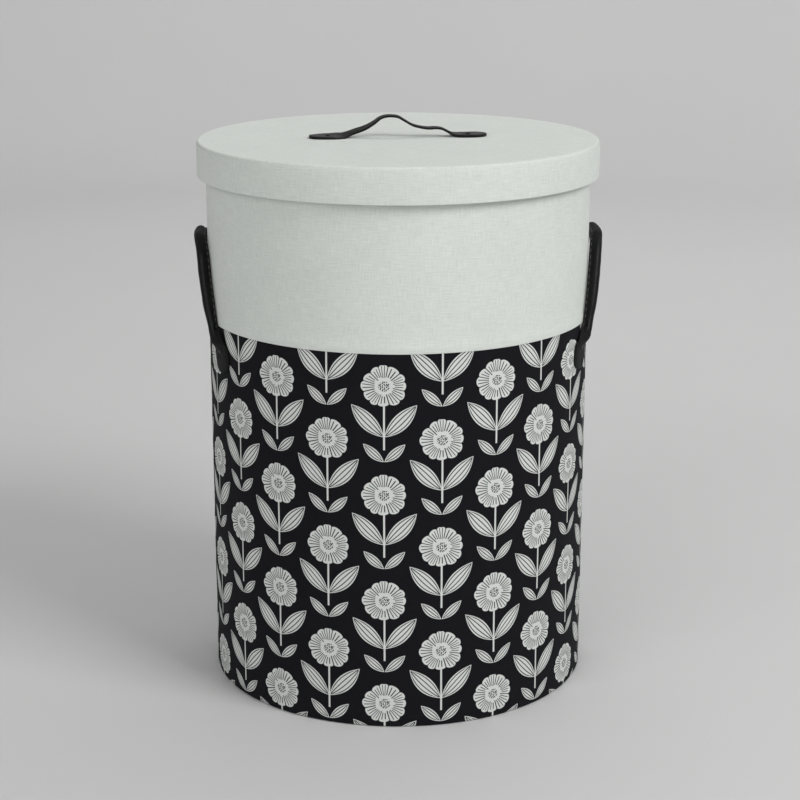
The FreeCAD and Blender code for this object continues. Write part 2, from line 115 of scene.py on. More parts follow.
class Finish:
    """A material: a Principled shader whose constant sockets are set when it is made."""

    def __init__(self, name, constants=()):
        self.material = bpy.data.materials.new(name)
        self.material.use_nodes = True
        self.tree = self.material.node_tree
        self.shader = self.tree.nodes["Principled BSDF"]
        for socket, number in dict(constants).items():
            self.shader.inputs[socket].default_value = number

    def node(self, kind, settings, sockets, out=0):
        """Adds a node: its settings first, then the values or links of its sockets. Gives one output."""
        made = self.tree.nodes.new(kind)
        for name, setting in settings.items():
            setattr(made, name, setting)
        for name, given in sockets.items():
            if isinstance(given, Signal):
                self.tree.links.new(given.socket, made.inputs[name])
            else:
                made.inputs[name].default_value = given
        return Signal(self, made.outputs[out])

    def place(self):
        """The point on the piece, in metres."""
        return self.node("ShaderNodeTexCoord", {}, {}, "Object")

    def parts(self, vector):
        """The three numbers of a vector."""
        return [self.node("ShaderNodeSeparateXYZ", {}, {0: vector}, axis) for axis in "XYZ"]

    def vector(self, *numbers):
        """A vector of up to three numbers."""
        return self.node("ShaderNodeCombineXYZ", {}, dict(enumerate(numbers)))

    def noise(self, vector, scale, detail=2.0):
        """Smooth noise of about 0 to 1 that varies scale times a metre."""
        return self.node("ShaderNodeTexNoise", {}, {"Vector": vector, "Scale": scale, "Detail": detail})

    def mix(self, share, low, high):
        """The colour low where share is 0 and high where it is 1."""
        return self.node("ShaderNodeMix", {"data_type": "RGBA"}, {"Factor": share, 6: low, 7: high}, 2)

    def coat(self, colour, roughness, height=None, depth=0.0001):
        """Joins colour, roughness and relief to the shader; height is 0 to 1 and depth its metres."""
        links = self.tree.links
        links.new(colour.socket, self.shader.inputs["Base Color"])
        links.new(roughness.socket, self.shader.inputs["Roughness"])
        if height is not None:
            relief = self.node("ShaderNodeBump", {}, {"Strength": 1.0, "Distance": depth, "Height": height})
            links.new(relief.socket, self.shader.inputs["Normal"])
        return self.material


def grey(level, warmth=0.0):
    """An opaque colour of that level, a little warmer or colder."""
    return (level * (1 + warmth), level, level * (1 - warmth), 1.0)


def dress(node, material):
    """Gives a node of the frame a finish in place of its plain one."""
    for place in frame["nodes"][node].material_slots:
        place.material = material


def greyboard():
    """Grey-brown pulp with short dark and pale fibres."""
    board = Finish("greyboard")
    place = board.place()
    pulp = board.noise(place, 90.0, 6.0)
    fibre = board.noise(place, 900.0, 3.0)
    tone = pulp * 0.6 + fibre * 0.4
    return board.coat(board.mix(tone, grey(0.13, 0.14), grey(0.34, 0.1)), 0.8 + tone * 0.15, fibre, 0.00015)


board_finish = greyboard()
for board_node in ("wall_board", "base_board", "lid_top_board", "lid_rim_board"):
    dress(board_node, board_finish)


# ------------------------------------------------------------------ paper
# Off-white paper lines the inside of body and lid and covers the floor card; a black paper disc
# hides the turned-under cloth below the base. All of it is pasted flat.
def paper(name, low, high, roughness):
    """Calendered paper: cloudy formation, fine fibres and faint paste marks."""
    sheet = Finish(name)
    place = sheet.place()
    cloud = sheet.noise(place, 35.0, 4.0)
    fibre = sheet.noise(place, 1500.0, 2.0)
    tone = cloud * 0.55 + fibre * 0.45
    height = cloud * 0.5 + fibre * 0.5
    return sheet.coat(sheet.mix(tone, low, high), roughness + fibre * 0.12, height, 0.00008)


lining_finish = paper("lining_paper", grey(0.5, 0.06), grey(0.68, 0.03), 0.72)
for lining_node in ("wall_lining", "floor_liner", "lid_top_lining", "lid_rim_lining"):
    dress(lining_node, lining_finish)
dress("underside_paper", paper("black_paper", grey(0.012), grey(0.03), 0.68))

# ------------------------------------------------------------------ white linen
# Slubbed white linen is pasted round the upper body, lapping a finger's width over the print and
# turned over the rim; a disc covers the lid's top and a band its rim, turned inside at the bottom.
MM = 0.001
lap_low, lap_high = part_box("linen_cover")
print_low, print_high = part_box("printed_cover")
lining_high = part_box("wall_lining")[1]
board_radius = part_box("wall_board")[1].x
print_radius = print_high.x
lap_radius = lap_high.x
linen_thick = lap_radius - print_radius


CREASE = math.radians(50)  # two faces that meet at more than this show an edge


def sewn(name, points, uv=None, closed_rows=False, closed_columns=False, finish=None, crease=CREASE):
    """A mesh over a grid of points (rows, columns, xyz): each cell is one face, a closed direction joins
    its last line to its first, a row of equal points becomes one point, and faces are turned outwards.
    The uv grid has one more line than the points in each closed direction."""
    rows, columns = points.shape[:2]
    across, along = np.meshgrid(
        np.arange(rows - 1 + closed_rows), np.arange(columns - 1 + closed_columns), indexing="ij"
    )
    corners = [(across, along), (across, along + 1), (across + 1, along + 1), (across + 1, along)]
    flat = points.reshape(-1, 3)
    number = np.arange(rows * columns).reshape(rows, columns)
    pole = np.ptp(points, axis=1).max(axis=1) < 1e-9
    number[pole] = number[pole][:, :1]
    faces = np.stack([number[r % rows, c % columns] for r, c in corners], -1).reshape(-1, 4)
    a, b, c, d = (flat[faces[:, i]] for i in range(4))
    volume = (a * np.cross(b, c)).sum() + (a * np.cross(c, d)).sum()
    turn = slice(None, None, -1 if volume < 0 else 1)
    faces = faces[:, turn]
    keep = faces != np.roll(faces, 1, axis=1)
    used, inverse = np.unique(faces[keep], return_inverse=True)
    lists = np.split(inverse, np.cumsum(keep.sum(1))[:-1])
    mesh = bpy.data.meshes.new(name)
    mesh.from_pydata(flat[used].tolist(), [], [face.tolist() for face in lists])
    mesh.polygons.foreach_set("use_smooth", np.ones(len(mesh.polygons), bool))
    if crease:
        mesh.set_sharp_from_angle(angle=crease)
    if uv is not None:
        corner_uv = np.stack([uv[r, c] for r, c in corners], -2).reshape(-1, 4, 2)[:, turn]
        mesh.uv_layers.new(name="Flat").data.foreach_set("uv", corner_uv[keep].astype(np.float32).ravel())
    piece = bpy.data.objects.new(name, mesh)
    bpy.context.scene.collection.objects.link(piece)
    if finish is not None:
        mesh.materials.append(finish)
    return piece


def bend(centre, radius, start, end, steps=6):
    """Points (radius, height) on an arc about a centre, from one angle to another in degrees."""
    angle = np.radians(np.linspace(start, end, steps))
    return [(centre[0] + radius * math.cos(a), centre[1] + radius * math.sin(a)) for a in angle]


def spaced(profile, step):
    """The profile again with extra points on its long runs, none further apart than the step."""
    profile = np.array(profile, float)
    runs = [profile[:1]]
    for start, end in zip(profile, profile[1:]):
        count = max(1, math.ceil(np.linalg.norm(end - start) / step))
        runs.append(start + (end - start) * (np.arange(1, count + 1) / count)[:, None])
    return np.concatenate(runs)


LAP = 12 * MM  # how far a cloth laps over its own end at the back


def around(count, radius):
    """Angles once round from the back, evenly spaced, with closer ones where the cloth laps itself."""
    even = np.linspace(-math.pi, math.pi, count, endpoint=False)
    from_seam = np.array([LAP + 1.2 * MM, LAP + 0.25 * MM, LAP, LAP - 0.4 * MM, 3 * MM, 0.8 * MM])
    lap_lines = math.pi - from_seam / radius
    return np.sort(np.concatenate([even[even < lap_lines.min() - 0.004], lap_lines]))


def swell(angle, height, seed):
    """Gentle hand-made unevenness of about 1 to -1: long waves round the box and up it."""
    wave = np.sin(3 * angle + 31 * height + seed) + np.sin(7 * angle - 19 * height + 2.1 * seed)
    return (wave + np.sin(13 * angle + 47 * height + 3.7 * seed)) / 3


def wrapped(name, outside, inside, count, thick, seed, uneven, finish):
    """A cloth pasted round a tube: the outside and inside profiles of (radius, height) carried round the
    axis as one closed skin. The outside swells a little and steps up by the cloth's own thickness where
    it laps itself at the back. Its UV is the flat cloth, in metres: round the tube and up the profile."""
    outside, inside = spaced(outside, 9 * MM), spaced(inside, 60 * MM)
    profile = np.concatenate([outside, inside])
    reach = profile[0, 0]
    angle = around(count, reach)
    radius, height = profile[:, :1], profile[:, 1:]
    from_seam = (math.pi - angle) * reach
    step = np.interp(from_seam, [0, 3 * MM, LAP - 0.2 * MM, LAP + 0.2 * MM], [0.0, 1.0, 1.0, 0.0])
    free = np.r_[np.ones(len(outside)), np.zeros(len(inside))][:, None]
    free[[0, 1]] *= 0.6
    proud = free * (step * thick * 0.8 + uneven * swell(angle, height, seed))
    grown = radius + proud
    points = np.stack(
        [grown * np.sin(angle), -grown * np.cos(angle), np.broadcast_to(height, grown.shape)], axis=-1
    )
    run = np.r_[0, np.cumsum(np.linalg.norm(np.diff(np.r_[profile, profile[:1]], axis=0), axis=1))]
    u = np.r_[angle, math.pi + (angle[0] + math.pi)] * reach
    uv = np.stack(np.broadcast_arrays(u, (profile[0, 1] - run)[:, None]), axis=-1)
    return sewn(name, points, uv, True, True, finish)


def linen(name, level):
    """Plain-woven linen with slubs: two crossed sets of threads, each thick and thin along its length."""
    cloth = Finish(name, {"Specular IOR Level": 0.2, "Sheen Weight": 0.25, "Sheen Roughness": 0.5})
    u, v = cloth.parts(cloth.node("ShaderNodeUVMap", {"uv_map": "Flat"}, {}))[:2]
    warp = (u * (math.pi / 0.00062)).math("SINE")
    weft = (v * (math.pi / 0.00055)).math("SINE")
    slub_weft = cloth.noise(cloth.vector(u * 75.0, v * 1250.0, 0.0), 1.0, 3.0)
    slub_warp = cloth.noise(cloth.vector(u * 1150.0, v * 90.0, 5.0), 1.0, 3.0)
    cloud = cloth.noise(cloth.vector(u, v, 0.0), 18.0, 3.0)
    threads = slub_weft * 0.55 + slub_warp * 0.45
    weave = warp * weft * 0.5 + 0.5
    tone = (threads - 0.5) * 1.9 + 0.42 + weave * 0.12 + (cloud - 0.5) * 0.3
    low = (level * 0.8, level * 0.84, level * 0.8, 1.0)
    high = (level * 1.1, level * 1.14, level * 1.085, 1.0)
    height = threads * 0.65 + weave * 0.35
    return cloth.coat(cloth.mix(tone, low, high), 0.86 + weave * 0.08, height, 0.0003)


linen_finish = linen("white_linen", 0.7)

rim_z, hem_z = lap_high.z, lap_low.z
print_top = print_high.z
board_inner = lining_high.x
turn_in = lining_high.z
linen_radius = board_radius + linen_thick
fold = 1.3 * MM
linen_outside = (
    bend((linen_radius - fold, rim_z - fold), fold, 90, 0)
    + [(linen_radius, print_top + 3.2 * MM), (lap_radius - 0.1 * MM, print_top + 0.6 * MM)]
    + [(lap_radius + 0.1 * MM, print_top - 1.0 * MM)]
    + bend((lap_radius - 0.35 * MM, hem_z + 0.45 * MM), 0.45 * MM, 0, -90, 4)
)
linen_inside = [
    (print_radius, hem_z),
    (print_radius, print_top),
    (board_radius, print_top + 0.5 * MM),
    (board_radius, rim_z - linen_thick),
    (board_inner, rim_z - linen_thick),
    (board_inner, turn_in + 0.05 * MM),
    (board_inner - linen_thick, turn_in + 0.05 * MM),
] + bend((board_inner - linen_thick + fold, rim_z - fold), fold, 180, 90)
linen_cover = wrapped(
    "linen_body_cover", linen_outside, linen_inside, 300, linen_thick, 1.0, 0.12 * MM, linen_finish
)
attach(linen_cover, "box")
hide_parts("linen_cover")

band_low, band_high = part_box("lid_side_band")
disc_low, disc_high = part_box("lid_top_cover")
lid_lining_low, lid_lining_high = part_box("lid_rim_lining")
band_radius, band_foot, lid_top = band_high.x, band_low.z, disc_high.z
under_band = band_radius - linen_thick
ring_inner = lid_lining_high.x
foot_fold = 0.7 * MM  # the cloth is pulled tight round the board's sharp lower edge
band_outside = (
    [(under_band + 0.25 * MM, band_high.z + 0.3 * MM), (band_radius - 0.15 * MM, band_high.z - 0.2 * MM)]
    + [(band_radius, band_high.z - 1.2 * MM)]
    + bend((band_radius - foot_fold, band_foot + foot_fold), foot_fold, 0, -90)
    + bend((ring_inner - linen_thick + fold, band_foot + fold), fold, -90, -180)
)
band_inside = [
    (ring_inner - linen_thick, lid_lining_low.z),
    (ring_inner, lid_lining_low.z),
    (ring_inner, band_foot + linen_thick),
    (under_band, band_foot + linen_thick),
    (under_band, band_high.z),
]
lid_band = wrapped(
    "linen_lid_band", band_outside, band_inside, 300, linen_thick, 4.0, 0.14 * MM, linen_finish
)
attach(lid_band, "lid")
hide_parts("lid_side_band")


def lid_disc():
    """The lid's top cloth: a disc with a soft shoulder, turned down all round under the side band, as one
    closed skin. Rings of points from the middle out, over the shoulder and down, then back underneath."""
    shoulder, corner = 2.4 * MM, 1.4 * MM
    flat_out = np.linspace(0, under_band - shoulder, 26)
    outside = [(r, lid_top) for r in flat_out]
    outside += bend((under_band - shoulder, lid_top - shoulder), shoulder, 78, 0, 7)
    inside = [
        (under_band, disc_low.z),
        (under_band - linen_thick, disc_low.z),
        (under_band - linen_thick, lid_top - linen_thick - corner),
        (under_band - linen_thick - corner, lid_top - linen_thick),
        (0, lid_top - linen_thick),
    ]
    profile = np.array(outside + inside)
    angle = np.linspace(-math.pi, math.pi, 240, endpoint=False)
    radius, height = profile[:, :1], profile[:, 1:]
    top = (np.arange(len(profile)) < len(flat_out))[:, None] * (radius > 0)
    height = height + top * 0.1 * MM * swell(2 * angle, radius * 3, 2.0) * np.minimum(1, radius / 0.03)
    points = np.stack(np.broadcast_arrays(radius * np.sin(angle), -radius * np.cos(angle), height), axis=-1)
    run = np.r_[0, np.cumsum(np.linalg.norm(np.diff(profile, axis=0), axis=1))][:, None]
    full = np.r_[angle, math.pi]
    uv = np.stack(np.broadcast_arrays(run * np.sin(full), -run * np.cos(full)), axis=-1)
    return sewn("linen_lid_top", points, uv, False, True, linen_finish)


lid_cloth = lid_disc()
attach(lid_cloth, "lid")
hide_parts("lid_top_cover")
cut_across = 2 * (under_band + lid_top - disc_low.z)
math.pi * cut_across**2 / 4

# ------------------------------------------------------------------ printed cotton
# Black cotton with a white half-drop print of daisies, each on a stem with a large leaf pair and a
# small sprout below. It is pasted round the tube and turned under the base.


class Motif(Finish):
    """A finish with the printed flower's shapes. All lengths are millimetres from the flower's middle."""

    def leaf(self, x, y, base, tip, half_width, veins, line):
        """White share of a leaf: a lens between base and tip, with dark veins that run its length and
        close up towards both ends inside a white edge."""
        dx, dy = tip[0] - base[0], tip[1] - base[1]
        length = math.hypot(dx, dy)
        along = ((x - base[0]) * dx + (y - base[1]) * dy) / length**2
        side = ((x - base[0]) * dy - (y - base[1]) * dx) / length
        lens, bow = along * (1 - along), 2.2
        half = lens * (4 * half_width)
        belly = side - lens * bow
        depth = half - abs(belly)
        white = (0 - depth).below(0.0, 0.22)
        dark = None
        for share in veins:
            vein = abs(abs(belly) - half * share).below(line, 0.2)
            dark = vein if dark is None else dark.math("MAXIMUM", vein)
        inner = (0 - depth).below(-0.8, 0.2)
        return white * (1 - dark * inner)

    def flower(self, x, y):
        """White share of a daisy: round-ended petals parted by dark lines, two fine lines in each, and a
        plain middle with scattered dots. Its reach is 0 in the middle and 1 at a petal's tip; uneven
        shifts the tips and the lines' ends a little, and swing the petals."""
        petals, width, height, size, notch = 12, 19.4, 18.4, 19.0, 0.14
        across, up = x / width, y / height
        reach = (across * across + up * up).math("SQRT")
        turn = across.math("ARCTAN2", up)
        uneven = (turn * 3 + 0.9).math("SINE") * 0.025 + (turn * 5 + 2.2).math("SINE") * 0.025
        swing = (turn * 3 + 1.3).math("SINE") * 0.045 + (turn * 5 + 0.4).math("SINE") * 0.03
        petal = ((turn + swing) * (petals / (2 * math.pi)) + petals + 0.5) % 1.0
        off = abs(petal - 0.5) * 2
        rim = (1 - off * off).math("SQRT") * notch + uneven + (1 - notch)
        white = ((reach - rim) * size).below(0.0, 0.25)
        arc = reach * (size * math.pi / petals)
        part = ((1 - off) * arc).below(0.38, 0.2) * (reach > uneven + 0.42)
        fine = (abs(off - 1 / 3) * arc).below(0.35, 0.18)
        fine = fine * (reach > 0.45 - uneven) * (reach < uneven * 2 + 0.9)
        dots = self.node(
            "ShaderNodeTexVoronoi",
            {"voronoi_dimensions": "2D"},
            {"Vector": self.vector(x, y, 0.0), "Scale": 0.6, "Randomness": 0.55},
            "Distance",
        )
        dot = dots.below(0.37, 0.08) * reach.below(0.25, 0.02)
        return white * (1 - part.math("MAXIMUM", fine).math("MAXIMUM", dot))


def printed_cotton():
    """The half-drop print: a column every 50.4 mm, a flower every 97 mm in it, and each second column
    half a repeat lower. A wavy line between two columns says whose motif a point belongs to."""
    column, repeat, first_across, first_up, head, slack = 50.4, 97.0, 19.9, 313.6, 18.5, 1.2
    constants = {"Specular IOR Level": 0.12, "Sheen Weight": 0.01, "Sheen Roughness": 0.6}
    cloth = Motif("printed_cotton", constants)
    u, v = cloth.parts(cloth.node("ShaderNodeUVMap", {"uv_map": "Flat"}, {}))[:2]
    drift_across = cloth.noise(cloth.vector(u, v, 0.0), 9.0, 1.0) - 0.5
    drift_up = cloth.noise(cloth.vector(u, v, 7.0), 9.0, 1.0) - 0.5
    across = u * 1000 + drift_across * slack
    up = v * 1000 - first_up + drift_up * slack
    x_even = (across + (first_across + column)) % (2 * column) - column
    border = ((up + 31) * (2 * math.pi / repeat)).math("COSINE") * 6.5 + column / 2
    odd = abs(x_even) > border
    x = x_even - x_even.math("SIGN") * odd * column
    y = (up + odd * (repeat / 2) - head) % repeat - (repeat - head)
    mirrored = abs(x)
    stem = mirrored.below(0.82, 0.25) * (y < -15) * (y > -56.5)
    leaves = cloth.leaf(mirrored, y, (0.2, -45.0), (28.3, -16.6), 7.0, (0.26, 0.76), 0.42)
    sprouts = cloth.leaf(mirrored, y, (0.2, -67.0), (18.2, -51.2), 4.1, (0.0, 0.62), 0.38)
    ink = cloth.flower(x, y).math("MAXIMUM", stem).math("MAXIMUM", leaves).math("MAXIMUM", sprouts)
    warp = (u * (math.pi / 0.00042)).math("SINE")
    weft = (v * (math.pi / 0.00042)).math("SINE")
    weave = warp * weft * 0.5 + 0.5
    nap = cloth.noise(cloth.vector(u, v, 3.0), 2600.0, 2.0)
    cover = ink * (0.93 + weave * 0.04 + nap * 0.05)
    black = cloth.mix(nap * 0.6 + weave * 0.4, (0.004, 0.0038, 0.0056, 1.0), (0.0095, 0.009, 0.0125, 1.0))
    white = cloth.mix(nap, (0.6, 0.615, 0.6, 1.0), (0.75, 0.765, 0.745, 1.0))
    height = weave * 0.55 + nap * 0.35 + ink * 0.1
    return cloth.coat(cloth.mix(cover, black, white), 0.9 - ink * 0.12, height, 0.00012)


cotton_thick = print_radius - board_radius
foot = print_low.z
turned_under = 18 * MM
foot_round = 1.6 * MM
cotton_outside = (
    [(print_radius, print_top)]
    + bend((print_radius - foot_round, foot + foot_round), foot_round, 0, -90)
    + [(board_radius - turned_under, foot)]
)
cotton_inside = [
    (board_radius - turned_under, foot + cotton_thick),
    (board_radius - 1.1 * MM, foot + cotton_thick),
    (board_radius, foot + cotton_thick + 1.1 * MM),
    (board_radius, print_top),
]
cotton_finish = printed_cotton()
cotton_cover = wrapped(
    "cotton_body_cover", cotton_outside, cotton_inside, 360, cotton_thick, 2.5, 0.1 * MM, cotton_finish
)
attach(cotton_cover, "box")
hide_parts("printed_cover")

# ------------------------------------------------------------------ carrying handles
# A black leather strip is folded round a cotton cord and sewn along its two edges, which face the
# wall. At each neck it opens out again into a flat tongue, riveted to the wall through a washer.
SIDES = {"right": 1.0, "left": -1.0}
LEG_LEAN, TAB_LEAN = math.radians(22), math.radians(12.5)
TIP_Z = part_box("right_front_tab")[0].z
NECK_Z = next(j for j in frame["joints"] if j["name"] == "right_handle_swing")["pos_m"][2]
GRIP_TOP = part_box("right_grip_leather")[1].z


def smooth(x, low, high):
    """Rises from 0 at low to 1 at high with no kink at either end."""
    t = np.clip((x - low) / (high - low), 0, 1)
    return t * t * (3 - 2 * t)


def capped(points):
    """The grid with its first and last rows drawn together to their middles, which closes the skin."""
    ends = [points[i].mean(axis=0, keepdims=True) + 0 * points[i] for i in (0, -1)]
    return np.concatenate([ends[0][None], points, ends[1][None]])


def leather(name, low, high, roughness, length=0.0, polished=(0.0, 0.0)):
    """Black leather: a fine cell grain, soft creases and cloudy gloss, on the flat hide. Of a strip that is
    rolled, the part between two distances from its ends is stretched tight, and shines more."""
    hide = Finish(name, {"Specular IOR Level": 0.16})
    flat = hide.node("ShaderNodeUVMap", {"uv_map": "Flat"}, {})
    warp = hide.noise(flat, 260.0, 2.0)
    cells = {"Vector": flat, "Scale": 950.0}
    pebble = hide.node("ShaderNodeTexVoronoi", {"feature": "DISTANCE_TO_EDGE"}, cells, "Distance")
    grain = (pebble * 4.0).math("MINIMUM", 1.0) * 0.7 + hide.noise(flat, 2400.0, 2.0) * 0.3
    cloud = hide.noise(flat, 45.0, 4.0)
    drawn_out = hide.node("ShaderNodeMapping", {}, {"Vector": flat, "Scale": (60.0, 420.0, 1.0)})
    crease = hide.noise(drawn_out, 1.0, 3.0)
    tone = cloud * 0.55 + grain * 0.2 + warp * 0.25
    height = grain * 0.6 + crease * 0.4
    from_end = length / 2 - abs(hide.parts(flat)[1] - length / 2)
    tight = from_end.below(polished[1], 0.015) * (1 - from_end.below(polished[0], 0.004))
    gloss = roughness + cloud * 0.14 - grain * 0.06 - tight * 0.37
    return hide.coat(hide.mix(tone, low, high), gloss, height, 0.00016)


BLACK = (0.0026, 0.003, 0.0028, 1.0)
WORN_BLACK = (0.0078, 0.0085, 0.0081, 1.0)
ROLL = 3.2 * MM  # radius of the middle of the leather round the cord
NIP = 5 * MM  # radius of the bend where the two layers come together
LAYER = 1.3 * MM
SEAM = 0.6 * MM  # where they lie flat on each other, at their edges
TAB_THICK = 2.2 * MM
NECK_Y = 65 * MM
SHOULDER = 28 * MM
STANDOFF = 0.6 * MM  # from the linen to the sewn edges
FOLD_FAR = math.pi - math.asin((LAYER / 2 + NIP) / (ROLL + NIP))
STRIP_HALF = ROLL * FOLD_FAR + NIP * (FOLD_FAR - math.pi / 2) + SEAM
TAB_HALF, TAB_ROUND, NECK_HALF = 12.5, 11.0, 8.8  # millimetres: half widths, and the tip's round


def handle_line(step):
    """The line up one leg, over the top and down the other as seen from the side. Its heading is constant
    on the tongue, the leg and the top and turns evenly on the shoulder, and a little at the neck;
    positions are its integral. Gives distance along it, y, z and the unit normal, from tip to tip."""
    tab_turn, leg_turn = math.pi / 2 - TAB_LEAN, math.pi / 2 - LEG_LEAN
    top_sag, bend = 2.5 * MM, 4 * MM
    middle_z = GRIP_TOP - (ROLL + LAYER / 2) - top_sag
    tab = (NECK_Z - TIP_Z) / math.sin(tab_turn)
    cut = SHOULDER * math.tan(leg_turn / 2)
    leg = (middle_z - NECK_Z) / math.sin(leg_turn) - cut
    arc = SHOULDER * leg_turn
    top = 2 * (NECK_Y - (middle_z - NECK_Z) / math.tan(leg_turn) - cut)
    marks = np.cumsum([0, tab - bend, 2 * bend, leg - bend, arc, top, arc, leg - bend, 2 * bend, tab - bend])
    turns = [tab_turn, tab_turn, leg_turn, leg_turn, 0, 0, -leg_turn, -leg_turn, -tab_turn, -tab_turn]
    along = np.linspace(0, marks[-1], int(marks[-1] / step) | 1)
    heading = np.interp(along, marks, turns)
    move, middle = np.diff(along), (heading[1:] + heading[:-1]) / 2
    y = np.r_[0, np.cumsum(move * np.cos(middle))]
    z = TIP_Z + np.r_[0, np.cumsum(move * np.sin(middle))]
    return along, y - y[-1] / 2, z, -np.sin(heading), np.cos(heading)


def fold_heading(distance):
    """Heading of the folded strip's section at a distance from the middle of its outer face: it turns
    round the cord, turns back where the layers meet, then runs straight towards the wall."""
    round_cord = ROLL * FOLD_FAR
    nip = NIP * (FOLD_FAR - math.pi / 2)
    return np.interp(distance, [0, round_cord, round_cord + nip], [0, FOLD_FAR, math.pi / 2])


def strip_section(half, opened, thick, points=41):
    """The strip's section at every place along it, as a closed loop: the fold's heading is scaled by how
    far the fold is closed and integrated from the middle both ways, the leather's two faces lie half its
    thickness either side, and half circles round off its edges. Gives across and out, out being from
    the edges, and where on the strip each loop point is, from -1 to 1."""
    share = np.linspace(0, 1, points)
    heading = fold_heading(share * STRIP_HALF)[None] * (1 - opened[:, None])
    middle = (heading[:, 1:] + heading[:, :-1]) / 2
    move = np.diff(share)[None] * half[:, None]
    across = np.c_[np.zeros(len(half)), np.cumsum(move * np.cos(middle), axis=1)]
    drop = np.c_[np.zeros(len(half)), np.cumsum(move * np.sin(middle), axis=1)]
    out = drop[:, -1:] - drop
    normal_across, normal_out = np.sin(heading), np.cos(heading)
    reach = thick[:, None] / 2
    cap = np.radians(np.linspace(0, 180, 7))[None, 1:-1]
    end = slice(-1, None)
    end_across, end_out = normal_across[:, end], normal_out[:, end]
    cap_across = across[:, end] + reach * (np.cos(cap) * end_across + np.sin(cap) * end_out)
    cap_out = out[:, end] + reach * (np.cos(cap) * end_out - np.sin(cap) * end_across)
    half_across = np.c_[across + reach * normal_across, cap_across, (across - reach * normal_across)[:, ::-1]]
    half_out = np.c_[out + reach * normal_out, cap_out, (out - reach * normal_out)[:, ::-1]]
    where = np.r_[share, np.ones(cap.shape[1]), share[::-1]]
    loop_across = np.c_[half_across, -half_across[:, -2:0:-1]]
    loop_out = np.c_[half_out, half_out[:, -2:0:-1]]
    face = np.r_[np.ones(points), np.linspace(1, -1, cap.shape[1]), -np.ones(points)]
    return loop_across, loop_out, np.r_[where, -where[-2:0:-1]], np.r_[face, face[-2:0:-1]]


def groove(x, y, start, end, width):
    """1 along the line between two points and 0 away from it, fading as a bell of that width."""
    line = np.array(end) - np.array(start)
    t = np.clip(((x - start[0]) * line[0] + (y - start[1]) * line[1]) / (line @ line), 0, 1)
    gap = np.hypot(x - start[0] - t * line[0], y - start[1] - t * line[1])
    return np.exp(-((gap / width) ** 2))


def strip_shape(along):
    """How the strip changes along its length, from the distance q to its nearer tip in millimetres: half
    its width, how far the fold is open, its thickness, how far its edges lie from the box's axis, and q."""
    q = np.minimum(along, along[-1] - along) / MM
    half = TAB_HALF + (NECK_HALF - TAB_HALF) * smooth(q, 18, 34)
    half += (STRIP_HALF / MM - NECK_HALF) * (0.6 * smooth(q, 40, 62) + 0.4 * smooth(q, 50, 95))
    to_round = TAB_ROUND - np.clip(q, 0, TAB_ROUND)
    half = half - TAB_ROUND + np.sqrt(np.maximum(0, TAB_ROUND**2 - to_round**2))
    opened = 1 - smooth(q, 19, 43)
    thick = LAYER + (TAB_THICK - LAYER) * (1 - smooth(q, 24, 40))
    tab_edge, grip_edge = print_radius + TAB_THICK / 2, lap_radius + STANDOFF + LAYER / 2
    swollen = 1.5 * MM * np.exp(-(((q - 27.5) / 5) ** 2))
    edge = tab_edge + (grip_edge - tab_edge) * smooth(q, 30, 44) + swollen
    return half * MM, opened, thick, edge, q


strip_length = handle_line(MM)[0][-1]
leather_finish = leather("black_leather", BLACK, WORN_BLACK, 0.6, strip_length, (0.036, 0.115))


def on_wall(side, y, z, radius):
    """Points at that radius from the box's axis, on the right or the left."""
    return np.stack(np.broadcast_arrays(side * np.sqrt(radius**2 - y**2), y, z), axis=-1)


